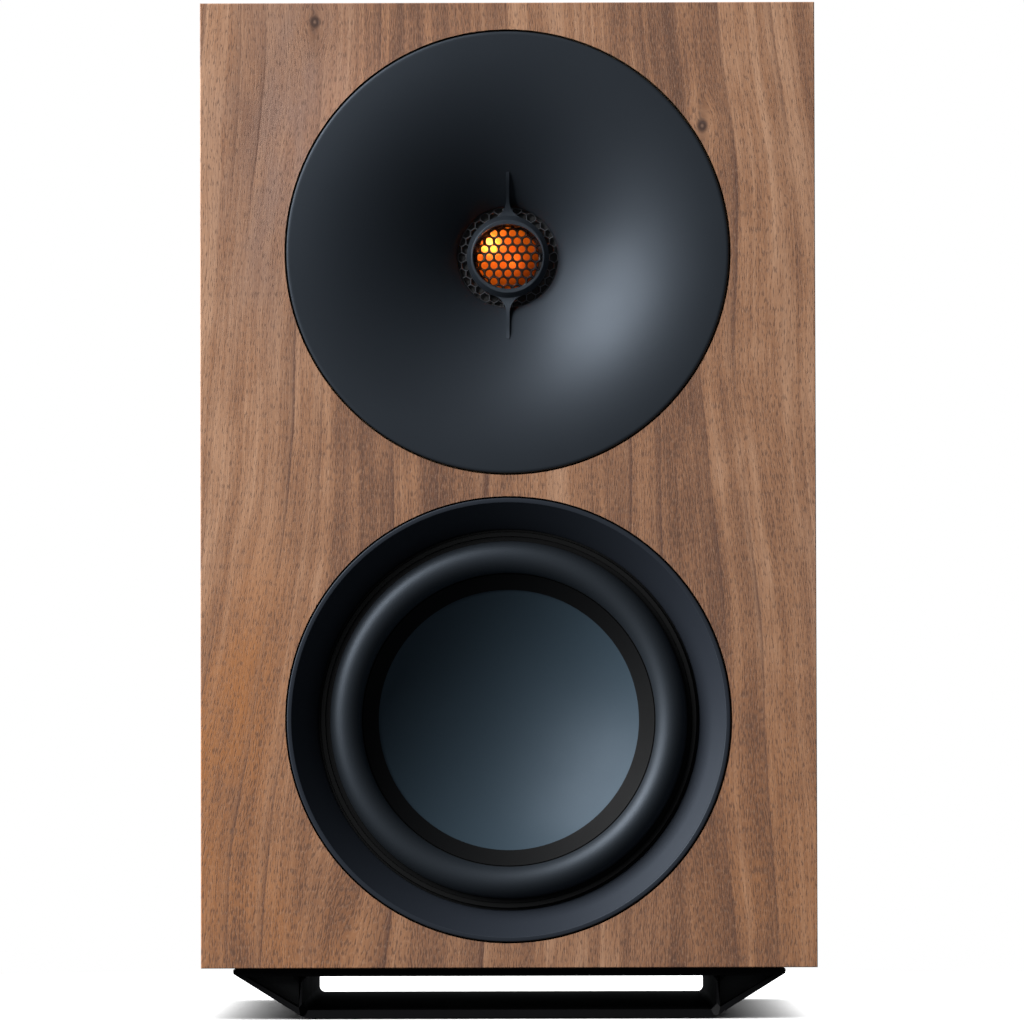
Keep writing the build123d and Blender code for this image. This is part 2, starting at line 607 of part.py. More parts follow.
STUD_R = 2.4
BARREL_R = 3.8
SOCKET_R = 2.05
SOCKET_LENGTH = 16.0
POST_END = CUP_FLOOR + 21.3
COLLAR_T = 1.5
COLLAR_R = 6.5
WASHER_T = 1.2
CAP_R = 8.0
CAP_LENGTH = 17.0
FLUTES = 12
NUT_T = 3.2
BOARD_T = 1.6
BOARD_BACK = CUP_FLOOR - CUP_WALL - NUT_T
STUD_END = BOARD_BACK - BOARD_T - NUT_T - 1.5


def binding_post(x):
    """Plated stud with a wire hole through its root and a plug socket in its end."""
    with BuildPart() as post:
        with BuildSketch(facing(CUP_FLOOR, TERMINAL_Z, x)):
            Circle(STUD_R)
        extrude(amount=CUP_FLOOR - STUD_END)
        with BuildSketch(facing(CUP_FLOOR + COLLAR_T, TERMINAL_Z, x)):
            Circle(COLLAR_R)
        extrude(amount=COLLAR_T)
        with BuildSketch(facing(POST_END, TERMINAL_Z, x)):
            Circle(BARREL_R)
        extrude(amount=POST_END - CUP_FLOOR - COLLAR_T)
        chamfer(post.faces().sort_by(Axis.Y)[-1].edges(), 0.4)
        drill(POST_END, TERMINAL_Z, [(x, 0)], SOCKET_R, SOCKET_LENGTH)
        with BuildSketch(Plane(origin=(x, CUP_FLOOR + COLLAR_T + 1.7, TERMINAL_Z - 9), z_dir=(0, 0, 1))):
            Circle(1.3)
        extrude(amount=18, mode=Mode.SUBTRACT)
    return post


def post_washer(x):
    """Flat ring that the cap presses on the wire without turning."""
    with BuildPart() as washer:
        with BuildSketch(facing(CUP_FLOOR + COLLAR_T + 0.05 + WASHER_T, TERMINAL_Z, x)):
            Circle(COLLAR_R)
            Circle(BARREL_R + 0.08, mode=Mode.SUBTRACT)
        extrude(amount=WASHER_T)
    return washer


def post_cap(x):
    """Fluted clamping cap, bored through so that a plug can enter the post."""
    cap_end = CUP_FLOOR + COLLAR_T + 0.1 + WASHER_T + CAP_LENGTH
    with BuildPart() as cap:
        with BuildSketch(facing(cap_end, TERMINAL_Z, x)):
            Circle(CAP_R)
        extrude(amount=CAP_LENGTH)
        fillet(cap.faces().sort_by(Axis.Y)[-1].edges(), 1.6)
        with BuildSketch(facing(cap_end, TERMINAL_Z, x)):
            with PolarLocations(CAP_R + 0.7, FLUTES):
                Circle(1.3)
        extrude(amount=CAP_LENGTH - 3, mode=Mode.SUBTRACT)
        drill(cap_end, TERMINAL_Z, [(x, 0)], BARREL_R + 0.06, CAP_LENGTH)
    return cap


for colour, side in (("red", POST_X), ("black", -POST_X)):
    pieces[f"{colour}_post"] = binding_post(side)
    pieces[f"{colour}_washer"] = post_washer(side)
    pieces[f"{colour}_cap"] = post_cap(side)

with BuildPart() as post_nuts:
    for nut_back in (CUP_FLOOR - CUP_WALL, BOARD_BACK - BOARD_T):
        with BuildSketch(facing(nut_back, TERMINAL_Z)):
            with Locations((-POST_X, 0), (POST_X, 0)):
                RegularPolygon(4.6, 6)
                Circle(STUD_R + 0.05, mode=Mode.SUBTRACT)
        extrude(amount=NUT_T)
pieces["post_nuts"] = post_nuts

with BuildPart() as port_tube:
    with BuildSketch(section(PORT_Z)):
        with BuildLine():
            lip, throat, port_end = CABINET_D, CABINET_D - PORT_FLARE_R, CABINET_D - PORT_LENGTH
            Polyline((PORT_R, throat), (PORT_R, port_end + 4), (PORT_R + 1.2, port_end),
                     (PORT_R + PORT_WALL, port_end), (PORT_R + PORT_WALL, throat - 4),
                     (PORT_R + 11.2, lip - PORT_FLANGE_T - 2), (PORT_R + 11.2, lip - PORT_FLANGE_T - 0.5),
                     (PORT_FLANGE_R, lip - PORT_FLANGE_T - 0.5), (PORT_FLANGE_R, lip - 0.5),
                     (PORT_FLANGE_R - 0.5, lip), (PORT_R + PORT_FLARE_R, lip))
            RadiusArc((PORT_R + PORT_FLARE_R, lip), (PORT_R, throat), -PORT_FLARE_R)
        make_face()
    revolve(axis=axis_at(PORT_Z))
pieces["port_tube"] = port_tube

# ================================================================ crossover
BOARD_W, BOARD_H = 124.0, 96.0
BOARD_Z = TERMINAL_Z + 6.0
BOARD_FRONT = BOARD_BACK - BOARD_T
with BuildPart() as crossover_board:
    with BuildSketch(facing(BOARD_BACK, BOARD_Z)):
        RectangleRounded(BOARD_W, BOARD_H, 3)
        with Locations((-POST_X, TERMINAL_Z - BOARD_Z), (POST_X, TERMINAL_Z - BOARD_Z)):
            Circle(STUD_R + LOOSE, mode=Mode.SUBTRACT)
    extrude(amount=BOARD_T)
pieces["crossover_board"] = crossover_board

COIL_H = 22.0
with BuildPart() as air_core_inductor:
    with BuildSketch(facing(BOARD_FRONT, BOARD_Z + 24, -34)):
        Circle(20)
        Circle(9, mode=Mode.SUBTRACT)
    extrude(amount=COIL_H)
    fillet(air_core_inductor.faces().sort_by(Axis.Y)[0].edges(), 1.5)
pieces["air_core_inductor"] = air_core_inductor

with BuildPart() as iron_core_inductor:
    for depth, radius in ((0, 17), (2, 13), (22, 17)):
        with BuildSketch(facing(BOARD_FRONT - depth, BOARD_Z + 24, 34)):
            Circle(radius)
        extrude(amount=20 if radius == 13 else 2)
    with BuildSketch(facing(BOARD_FRONT - 24, BOARD_Z + 24, 34)):
        Rectangle(12, 12)
    extrude(amount=3)
pieces["iron_core_inductor"] = iron_core_inductor

CAN_R, CAN_L = 8.0, 34.0
with BuildPart() as crossover_capacitors:
    for side in (-1, 1):
        with BuildSketch(Plane(origin=(side * 22, BOARD_FRONT - CAN_R, BOARD_Z - 32), z_dir=(side, 0, 0))):
            Circle(CAN_R)
        extrude(amount=CAN_L)
    fillet(crossover_capacitors.faces().filter_by(Axis.X).edges(), 1.0)
pieces["crossover_capacitors"] = crossover_capacitors

WIRE_R = 1.3


def wire_pair(points, gap):
    """Two insulated wires side by side along one route of straight runs and wide bends."""
    with BuildPart() as wires:
        for step in (-gap / 2, gap / 2):
            with BuildLine() as route:
                FilletPolyline(*[(x, y, z + step) for x, y, z in points], radius=9)
            start = route.line @ 0
            with BuildSketch(Plane(origin=start, z_dir=route.line % 0)):
                Circle(WIRE_R)
            sweep(path=route.line)
    return wires


LEAD_DEPTH = FRONT + 46  # where the wires meet the woofer's tags
TAG_TIP_X = -72.3
pieces["woofer_wires"] = wire_pair(
    [(-58, BOARD_FRONT, WOOFER_Z), (-58, 72, WOOFER_Z), (-62, 30, WOOFER_Z), (-65, -10, WOOFER_Z),
     (-66, -50, WOOFER_Z), (-84, -74, WOOFER_Z), (-90, LEAD_DEPTH, WOOFER_Z),
     (TAG_TIP_X, LEAD_DEPTH, WOOFER_Z)], 14.0)
TWEETER_LEAD_Z = HORN_Z - 15
pieces["tweeter_wires"] = wire_pair(
    [(0, BOARD_FRONT, BOARD_Z + 42), (0, 76, BOARD_Z + 42), (6, 46, BOARD_Z + 70), (12, 8, BOARD_Z + 116),
     (20, -34, BOARD_Z + 154), (26, -60, TWEETER_LEAD_Z - 12), (31, FRONT + 66, TWEETER_LEAD_Z),
     (31, FRONT + 41.05, TWEETER_LEAD_Z)], 6.0)

# ================================================================ foot
plate_top = FOOT_H - SHADOW_GAP
plate_low = plate_top - FOOT_PLATE
tray_top = FOOT_PAD + FOOT_PLATE
top_half, base_half = FOOT_TOP_W / 2, FOOT_BASE_W / 2
SIDE_T = 2.6
HEAD_R = 4.2  # countersunk head of a foot screw
LAND_INSET = 3.0
WEB_T = 1.2
POCKET_LIFT = 1.0  # lowest corner of a side pocket above the tray
slant = hypot(top_half - base_half, plate_low + 1 - FOOT_PAD)
side_shift = SIDE_T * slant / (plate_low + 1 - FOOT_PAD)

with BuildPart() as foot_frame:
    with BuildSketch(facing(FOOT_D / 2)) as foot_section:
        with BuildLine():
            Polyline((-top_half, plate_top), (top_half, plate_top), (top_half, plate_low + 1),
                     (base_half, FOOT_PAD), (-base_half, FOOT_PAD), (-top_half, plate_low + 1), close=True)
        make_face()
        low_corners = foot_section.vertices().group_by(Axis.Y)[0]
        fillet(low_corners, 6)
        tip_corners = foot_section.vertices().group_by(Axis.Y)[-1]
        fillet(tip_corners, 0.6)
        with Locations((0, (plate_low + tray_top) / 2)):
            Rectangle(2 * FOOT_WEB_X, plate_low - tray_top, mode=Mode.SUBTRACT)
        for side in (-1, 1):
            with BuildLine():
                Polyline((side * (FOOT_WEB_X + WEB_T), plate_low),
                         (side * (top_half - side_shift), plate_low),
                         (side * (FOOT_WEB_X + WEB_T), tray_top + POCKET_LIFT), close=True)
            make_face(mode=Mode.SUBTRACT)
    extrude(amount=FOOT_D)
    with BuildSketch(Plane.XY.offset(plate_top)):
        Rectangle(FOOT_TOP_W - 2 * LAND_INSET, FOOT_D - 2 * LAND_INSET)
    extrude(amount=SHADOW_GAP)
    with Locations(*[Location((x, y, plate_low), (180, 0, 0)) for x, y in FOOT_SCREW_SPOTS]):
        CounterSinkHole(FOOT_SCREW_R + LOOSE, HEAD_R + LOOSE, depth=FOOT_H - plate_low, counter_sink_angle=90)
pieces["foot_frame"] = foot_frame

PLUG_T = 4.0
PLUG_INSET = 11.0
with BuildPart() as foot_end_plugs:
    for front_face in (-FOOT_D / 2 + PLUG_INSET, FOOT_D / 2 - PLUG_INSET - PLUG_T):
        with BuildSketch(facing(front_face + PLUG_T)):
            for side in (-1, 1):
                with BuildLine():
                    Polyline((side * (FOOT_WEB_X + WEB_T + LOOSE), plate_low - LOOSE),
                             (side * (top_half - side_shift - 3 * LOOSE), plate_low - LOOSE),
                             (side * (FOOT_WEB_X + WEB_T + LOOSE), tray_top + POCKET_LIFT + 3 * LOOSE),
                             close=True)
                make_face()
        extrude(amount=PLUG_T)
pieces["foot_end_plugs"] = foot_end_plugs

with BuildPart() as foot_pad:
    with BuildSketch(Plane.XY):
        RectangleRounded(FOOT_BASE_W - 8, FOOT_D - 8, 3)
    extrude(amount=FOOT_PAD)
pieces["foot_pad"] = foot_pad

with BuildPart() as foot_screws:
    for x, y in FOOT_SCREW_SPOTS:
        with BuildSketch(Plane(origin=(x, y, 0), x_dir=(1, 0, 0), z_dir=(0, -1, 0))):
            with BuildLine():
                Polyline((0, plate_low), (HEAD_R, plate_low),
                         (FOOT_SCREW_R, plate_low + HEAD_R - FOOT_SCREW_R), (FOOT_SCREW_R, FOOT_SCREW_TOP),
                         (0, FOOT_SCREW_TOP), close=True)
            make_face()
        revolve(axis=Axis((x, y, 0), (0, 0, 1)))
pieces["foot_screws"] = foot_screws

# ---------------------------------------------------------------- written pieces
os.makedirs("parts", exist_ok=True)
for name, piece in pieces.items():
    piece.part.label = name
    export_step(piece.part, f"parts/{name}.step")
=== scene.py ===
"""Looks of a two-way bookshelf loudspeaker: walnut veneer, satin horn, honeycomb tweeter, rubber-edged woofer.

Round pieces are turned from outlines of (radius, depth) in millimetres, with depth measured inwards from the
face of the front veneer. Everything else is in metres, in the frame of the CAD model.
"""

from math import cos, hypot, pi, radians, sin, sqrt

import bmesh
import bpy
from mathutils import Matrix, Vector
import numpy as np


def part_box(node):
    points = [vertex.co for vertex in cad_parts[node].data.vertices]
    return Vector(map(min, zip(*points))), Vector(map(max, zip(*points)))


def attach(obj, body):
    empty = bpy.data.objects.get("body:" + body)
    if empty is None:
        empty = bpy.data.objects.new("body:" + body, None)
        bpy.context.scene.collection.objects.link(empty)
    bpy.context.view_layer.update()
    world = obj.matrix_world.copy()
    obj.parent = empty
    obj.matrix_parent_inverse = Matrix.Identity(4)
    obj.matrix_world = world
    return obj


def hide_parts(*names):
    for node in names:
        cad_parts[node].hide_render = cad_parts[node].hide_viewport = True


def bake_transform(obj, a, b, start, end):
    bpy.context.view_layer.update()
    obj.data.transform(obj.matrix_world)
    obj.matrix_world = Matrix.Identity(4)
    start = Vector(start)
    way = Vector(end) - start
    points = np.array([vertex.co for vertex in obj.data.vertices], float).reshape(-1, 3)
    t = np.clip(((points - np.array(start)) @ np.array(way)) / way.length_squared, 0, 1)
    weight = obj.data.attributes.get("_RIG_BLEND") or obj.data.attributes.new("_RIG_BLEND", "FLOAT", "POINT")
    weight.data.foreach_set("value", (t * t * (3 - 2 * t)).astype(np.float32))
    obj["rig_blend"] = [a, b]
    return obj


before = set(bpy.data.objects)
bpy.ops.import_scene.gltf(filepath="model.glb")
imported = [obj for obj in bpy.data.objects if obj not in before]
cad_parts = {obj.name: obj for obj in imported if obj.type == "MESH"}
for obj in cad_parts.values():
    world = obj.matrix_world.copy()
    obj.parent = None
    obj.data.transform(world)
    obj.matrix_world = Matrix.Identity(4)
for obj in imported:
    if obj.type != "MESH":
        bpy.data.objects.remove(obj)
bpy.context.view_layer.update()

MM = 0.001
CABINET = "cabinet"


def middle(node):
    """Middle of a CAD node's box."""
    low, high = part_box(node)
    return (Vector(low) + Vector(high)) / 2


front_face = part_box("front_veneer")[0][1]
cabinet_low, cabinet_high = (Vector(corner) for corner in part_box("wrap_veneer"))
horn_centre = Vector((0, front_face, middle("waveguide").z))
woofer_centre = Vector((0, front_face, middle("woofer_trim_ring").z))
port_centre = Vector((0, front_face, middle("port_tube").z))


# ================================================================ shading helpers
def linear(colour):
    """Linear RGBA of an sRGB hex colour."""
    channels = [int(colour[i:i + 2], 16) / 255 for i in (1, 3, 5)]
    return [c / 12.92 if c <= 0.04045 else ((c + 0.055) / 1.055) ** 2.4 for c in channels] + [1.0]


def add(tree, kind, inputs=None, output=None, stops=(), **settings):
    """Add a shader node with its settings, and set or link its sockets. Gives the named output, or its first."""
    node = tree.nodes.new("ShaderNode" + kind)
    for name, value in settings.items():
        setattr(node, name, value)
    for name, value in (inputs or {}).items():
        socket = node.inputs[name] if isinstance(name, int) else next(
            found for found in node.inputs if found.enabled and found.name == name)
        if isinstance(value, bpy.types.NodeSocket):
            tree.links.new(value, socket)
        else:
            socket.default_value = value
    for i, (place, colour) in enumerate(stops):
        element = node.color_ramp.elements[i] if i < 2 else node.color_ramp.elements.new(place)
        element.position = place
        element.color = linear(colour)
    return node.outputs[output] if output else next((found for found in node.outputs if found.enabled), None)


def new_surface(name, **sockets):
    """Empty material with one Principled shader. Gives the material, its tree and the shader."""
    material = bpy.data.materials.new(name)
    material.use_nodes = True
    tree = material.node_tree
    tree.nodes.clear()
    shader = add(tree, "BsdfPrincipled", {key.replace("_", " "): value for key, value in sockets.items()}).node
    add(tree, "OutputMaterial", {"Surface": shader.outputs["BSDF"]})
    return material, tree, shader


def grained(name, colour, shade, roughness, grain, relief, mottle=0.03, **sockets):
    """Even surface with a fine grain: two close colours, a little uneven gloss, and relief of a real grain size."""
    material, tree, shader = new_surface(name, **sockets)
    spot = add(tree, "TexCoord", output="Object")
    fine = add(tree, "TexNoise", {"Vector": spot, "Scale": 1 / grain, "Detail": 3.0})
    broad = add(tree, "TexNoise", {"Vector": spot, "Scale": 1 / mottle, "Detail": 4.0})
    both = add(tree, "Math", {0: fine, 1: broad}, operation="ADD")
    tone = add(tree, "MapRange", {"Value": both, "From Min": 0.7, "From Max": 1.3})
    tree.links.new(add(tree, "ValToRGB", {"Fac": tone}, stops=((0.0, colour), (1.0, shade))),
                   shader.inputs["Base Color"])
    gloss = add(tree, "MapRange", {"Value": tone, "To Min": roughness - 0.04, "To Max": roughness + 0.04})
    tree.links.new(gloss, shader.inputs["Roughness"])
    tree.links.new(add(tree, "Bump", {"Height": fine, "Distance": relief}), shader.inputs["Normal"])
    return material


def wound(name, colour, shade, roughness, pitch, axis, relief, **sockets):
    """Close turns of wire: ridges of one wire's pitch along an axis, with painted shade in the valleys between them."""
    material, tree, shader = new_surface(name, **sockets)
    spot = add(tree, "TexCoord", output="Object")
    tint = add(tree, "TexNoise", {"Vector": spot, "Scale": 1 / (4 * pitch), "Detail": 2.0})
    turns = add(tree, "TexWave", {"Vector": spot, "Scale": 2 * pi / (20 * pitch), "Distortion": 0.0}, output="Fac",
                bands_direction=axis)
    light = add(tree, "ValToRGB", {"Fac": tint}, stops=((0.35, colour), (0.65, shade)))
    # Painted shade: the colour goes towards near black in the valleys between the turns.
    valley_shade = add(tree, "MapRange", {"Value": turns, "From Max": 0.35, "To Min": 0.7, "To Max": 0.0})
    tree.links.new(add(tree, "Mix", {"Factor": valley_shade, "A": light, "B": linear("#1c0f08")}, data_type="RGBA"),
                   shader.inputs["Base Color"])
    gloss = add(tree, "MapRange", {"Value": tint, "To Min": roughness - 0.05, "To Max": roughness + 0.05})
    tree.links.new(gloss, shader.inputs["Roughness"])
    tree.links.new(add(tree, "Bump", {"Height": turns, "Distance": relief}), shader.inputs["Normal"])
    return material


# ================================================================ veneer and boards
KNOT_W, KNOT_H = 2.4, 3.0  # half width and half height of a pin knot, in millimetres
FIGURE_H = 400  # height over which the figure opens out


def walnut(name, across, along, seed, lean=0.0, sways=(), knots=(), patches=()):
    """American walnut veneer, crown cut, sanded and oiled: brown figure that opens downwards, short open pores.

    Across (u) and along (v) are directions of the row frame, and lengths are in millimetres. A sway moves the
    figure by a shift between two heights, more towards the second of two places across. Knots are (u, v), and
    patches of another tone are (colour, strength, u, v, half width, half length).
    """
    material, tree, shader = new_surface(name, IOR=1.47)
    spot = add(tree, "TexCoord", output="Object")
    u = add(tree, "VectorMath", {0: spot, 1: [w / MM for w in across]}, operation="DOT_PRODUCT")
    v = add(tree, "VectorMath", {0: spot, 1: [w / MM for w in along]}, operation="DOT_PRODUCT")

    def streaks(grain, width, length, shift, detail=2.0, rough=0.5):
        """Uneven pattern, about 0.5, of streaks so many millimetres wide and long."""
        flat = add(tree, "CombineXYZ", {0: add(tree, "Math", {0: grain, 1: width}, operation="DIVIDE"),
                                        1: add(tree, "Math", {0: v, 1: length}, operation="DIVIDE"),
                                        2: seed + shift})
        return add(tree, "TexNoise", {"Vector": flat, "Scale": 1.0, "Detail": detail, "Roughness": rough})

    def nearness(grain, at_u, at_v, half_u, half_v, solid=0.0):
        """One at a place, falling to zero at an ellipse about it."""
        here = add(tree, "CombineXYZ", {0: add(tree, "Math", {0: grain, 1: half_u}, operation="DIVIDE"),
                                        1: add(tree, "Math", {0: v, 1: half_v}, operation="DIVIDE")})
        away = add(tree, "VectorMath", {0: here, 1: (at_u / half_u, at_v / half_v, 0)}, operation="DISTANCE")
        return add(tree, "MapRange", {"Value": away, "From Min": solid, "To Min": 1.0, "To Max": 0.0},
                   interpolation_type="SMOOTHSTEP")

    def stain(base, factor, colour):
        """Lay a colour over the base."""
        return add(tree, "Mix", {"Factor": factor, "A": base, "B": linear(colour)}, data_type="RGBA")

    # The figure leans outwards on its way down, wanders a little, sways, and flows round each knot.
    spread = add(tree, "Math", {0: v, 1: -lean / FIGURE_H, 2: 1 + lean}, operation="MULTIPLY_ADD")
    grain = add(tree, "Math", {0: u, 1: spread}, operation="DIVIDE")
    for pattern, swing in ((streaks(u, 90.0, 210.0, 0.0, 1.0), 26.0), (streaks(u, 15.0, 85.0, 3.1), 3.4)):
        centred = add(tree, "Math", {0: pattern, 1: 0.5}, operation="SUBTRACT")
        grain = add(tree, "Math", {0: centred, 1: swing, 2: grain}, operation="MULTIPLY_ADD")
    for from_u, to_u, from_v, to_v, shift in sways:
        aside = add(tree, "MapRange", {"Value": u, "From Min": from_u, "From Max": to_u},
                    interpolation_type="SMOOTHSTEP")
        down = add(tree, "MapRange", {"Value": v, "From Min": from_v, "From Max": to_v, "To Max": shift},
                   interpolation_type="SMOOTHSTEP")
        grain = add(tree, "Math", {0: aside, 1: down, 2: grain}, operation="MULTIPLY_ADD")
    for at_u, at_v in knots:
        push = add(tree, "Math", {0: u, 1: at_u}, operation="SUBTRACT")
        near = nearness(u, at_u, at_v, 4.5 * KNOT_W, 6.5 * KNOT_H)
        pull = add(tree, "Math", {0: push, 1: near}, operation="MULTIPLY")
        grain = add(tree, "Math", {0: pull, 1: -0.8, 2: grain}, operation="MULTIPLY_ADD")

    board = streaks(grain, 40.0, 900.0, 7.0)
    bands = streaks(grain, 7.0, 380.0, 11.0, 3.0, 0.6)
    lines = streaks(grain, 1.4, 120.0, 17.0, 3.0, 0.65)
    fibres = streaks(grain, 0.55, 16.0, 23.0, 2.0, 0.6)
    pores = streaks(grain, 0.36, 3.2, 29.0, 1.0)
    flecks = streaks(grain, 0.6, 2.0, 31.0, 2.0, 0.6)
    cloud = streaks(grain, 11.0, 34.0, 37.0)

    figure = add(tree, "Math", {0: lines, 1: 0.16}, operation="MULTIPLY")
    for pattern, share in ((bands, 0.36), (board, 0.32), (cloud, 0.16)):
        figure = add(tree, "Math", {0: pattern, 1: share, 2: figure}, operation="MULTIPLY_ADD")
    base = add(tree, "ValToRGB", {"Fac": figure},
               stops=((0.40, "#74503b"), (0.46, "#8c6349"), (0.52, "#9f7355"), (0.60, "#b88e70")))
    for colour, strength, at_u, at_v, half_u, half_v in patches:
        uneven = add(tree, "MapRange", {"Value": cloud, "From Min": 0.3, "From Max": 0.65, "To Min": strength / 3,
                                        "To Max": strength})
        base = stain(base, add(tree, "Math", {0: nearness(grain, at_u, at_v, half_u, half_v), 1: uneven},
                               operation="MULTIPLY"), colour)

    # Growth lines: dark latewood that ends sharply on one side, stronger in some stretches than in others.
    phase = add(tree, "Math", {0: streaks(grain, 34.0, 1500.0, 43.0), 1: 2.6}, operation="MULTIPLY")
    phase = add(tree, "Math", {0: grain, 1: 1 / 15.0, 2: phase}, operation="MULTIPLY_ADD")
    rings = add(tree, "Math", {0: phase}, operation="FRACT")
    latewood = add(tree, "ValToRGB", {"Fac": rings}, stops=((0.0, "#000000"), (0.5, "#222222"), (0.86, "#9c9c9c"),
                                                            (0.95, "#ffffff"), (0.985, "#000000")))
    patchy = add(tree, "MapRange", {"Value": streaks(grain, 22.0, 130.0, 47.0), "From Min": 0.42, "From Max": 0.62,
                                    "To Min": 0.15, "To Max": 1.0})
    base = stain(base, add(tree, "Math", {0: latewood, 1: patchy}, operation="MULTIPLY"), "#5d4034")

    # Pores: dashes under a millimetre wide and a few long, crowded into the darker bands.
    crowd = add(tree, "MapRange", {"Value": figure, "From Min": 0.38, "From Max": 0.56, "To Min": 0.14, "To Max": 0.0})
    depth = add(tree, "Math", {0: pores, 1: crowd}, operation="SUBTRACT")
    dashes = add(tree, "MapRange", {"Value": depth, "From Min": 0.32, "From Max": 0.45, "To Min": 1.0, "To Max": 0.0})
    base = stain(base, add(tree, "Math", {0: dashes, 1: 0.62}, operation="MULTIPLY"), "#4a3226")
    base = stain(base, add(tree, "MapRange", {"Value": fibres, "From Min": 0.34, "From Max": 0.6, "To Min": 0.30,
                                              "To Max": 0.0}), "#674636")
    base = stain(base, add(tree, "MapRange", {"Value": flecks, "From Min": 0.52, "From Max": 0.72, "To Min": 0.0,
                                              "To Max": 0.22}), "#c39c80")
    for at_u, at_v in knots:
        base = stain(base, add(tree, "Math", {0: nearness(u, at_u, at_v, 1.6 * KNOT_W, 8 * KNOT_H), 1: 0.45},
                               operation="MULTIPLY"), "#54392d")
        base = stain(base, nearness(u, at_u, at_v, 1.25 * KNOT_W, 1.25 * KNOT_H, 0.35), "#47332b")
        base = stain(base, nearness(u, at_u, at_v, 0.4 * KNOT_W, 0.4 * KNOT_H), "#7a5f50")
    tree.links.new(base, shader.inputs["Base Color"])

    gloss = add(tree, "MapRange", {"Value": dashes, "To Min": 0.48, "To Max": 0.75})
    tree.links.new(gloss, shader.inputs["Roughness"])
    relief = add(tree, "Math", {0: dashes, 1: -0.6, 2: fibres}, operation="MULTIPLY_ADD")
    tree.links.new(add(tree, "Bump", {"Height": relief, "Distance": 0.06 * MM}), shader.inputs["Normal"])
    return material


# ================================================================ meshes
def mesh_piece(name, vertices, faces, material, crease=38):
    """Mesh object with smooth faces, and sharp edges where it turns by more than the crease angle."""
    mesh = bpy.data.meshes.new(name)
    mesh.from_pydata(vertices, [], faces)
    shaped = bmesh.new()
    shaped.from_mesh(mesh)
    bmesh.ops.remove_doubles(shaped, verts=shaped.verts, dist=1e-7)
    bmesh.ops.recalc_face_normals(shaped, faces=shaped.faces)
    for face in shaped.faces:
        face.smooth = True
    for edge in shaped.edges:
        edge.smooth = not (edge.is_manifold and edge.calc_face_angle() > radians(crease))
    shaped.to_mesh(mesh)
    shaped.free()
    mesh.materials.append(material)
    piece = bpy.data.objects.new(name, mesh)
    bpy.context.scene.collection.objects.link(piece)
    return piece


def rounded(outline, radius, steps=4):
    """Closed outline with every corner rounded, by at most a third of its shorter side."""
    points = []
    for i, corner in enumerate(outline):
        here, before, after = (Vector(outline[k % len(outline)][:2]) for k in (i, i - 1, i + 1))
        cut = corner[2] if len(corner) > 2 else radius
        if cut == 0:
            points.append(tuple(here))
            continue
        start = here + (before - here).normalized() * min(cut, (before - here).length / 3)
        end = here + (after - here).normalized() * min(cut, (after - here).length / 3)
        for t in (step / steps for step in range(steps + 1)):
            points.append(tuple(start * (1 - t) ** 2 + here * 2 * t * (1 - t) + end * t ** 2))
    return points


def lathe(name, outline, centre, material, sides=256, crease=38):
    """Round piece turned from a closed outline of (radius, depth) in millimetres about the front-to-back axis."""
    vertices, faces = [], []
    for side in range(sides):
        angle = 2 * pi * side / sides
        for radius, depth in outline:
            vertices.append((centre.x + radius * MM * cos(angle), centre.y + depth * MM,
                             centre.z + radius * MM * sin(angle)))
    count = len(outline)
    for side in range(sides):
        ahead = (side + 1) % sides
        for i in range(count):
            after = (i + 1) % count
            if outline[i][0] > 1e-6 or outline[after][0] > 1e-6:
                faces.append((side * count + i, side * count + after, ahead * count + after, ahead * count + i))
    return mesh_piece(name, vertices, faces, material, crease)


def sheet_outline(middle_line, thickness):
    """Closed outline of a sheet of even thickness along a line of (radius, depth) points."""
    near, far = [], []
    for i, point in enumerate(middle_line):
        before, after = middle_line[max(i - 1, 0)], middle_line[min(i + 1, len(middle_line) - 1)]
        run = Vector((after[0] - before[0], after[1] - before[1])).normalized()
        side = Vector((run.y, -run.x)) * thickness / 2
        near.append((max(point[0] + side.x, 0), point[1] + side.y))
        far.append((max(point[0] - side.x, 0), point[1] - side.y))
    return near + far[::-1]


def finish_cad(material, *names):
    """Give CAD nodes a material."""
    for name in names:
        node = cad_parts[name]
        node.data.materials.clear()
        node.data.materials.append(material)


def stand_for(piece, node, body=CABINET):
    """Hide the CAD node that a piece stands for, and attach the piece to the body it rides on."""
    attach(piece, body)
    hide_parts(node)
    return piece


# ================================================================ cabinet
WARM, GREY, DEEP = "#a86a35", "#80665c", "#6f4a38"
front_patches = ((WARM, 1.0, -84, 115, 30, 105), (WARM, 0.5, -66, 30, 50, 70), (WARM, 0.35, 95, 60, 60, 130),
                 (GREY, 0.9, -88, 350, 40, 130), (DEEP, 0.7, -104, 385, 7, 120), (DEEP, 0.6, 118, 330, 16, 160),
                 (GREY, 0.5, 112, 130, 22, 150))
finish_cad(walnut("walnut_veneer_front", (1, 0, 0), (0, 0, 1), 2.0, 0.30, ((-40, -100, 235, 60, 12),),
                  ((-77, 399), (78, 357)), front_patches), "front_veneer")
finish_cad(walnut("walnut_veneer_wrap", (0, 1, 0), (-1, 0, 1), 9.0, 0.15, patches=((WARM, 0.5, 40, 60, 70, 160),)),
           "wrap_veneer")
finish_cad(walnut("walnut_veneer_back", (-1, 0, 0), (0, 0, 1), 15.0, 0.2, knots=((64, 190),),
                  patches=((WARM, 0.5, -60, 90, 50, 120), (GREY, 0.6, 80, 330, 40, 120))), "back_veneer")
# Medium-density fibreboard, sawn and left raw: felted brown fibre with short pale and dark specks.
finish_cad(grained("raw_fibreboard", "#a88a63", "#8f7350", 0.85, 0.8 * MM, 0.06 * MM, mottle=6 * MM), "front_baffle",
           "left_panel", "right_panel", "top_panel", "bottom_panel", "back_panel", "window_brace")
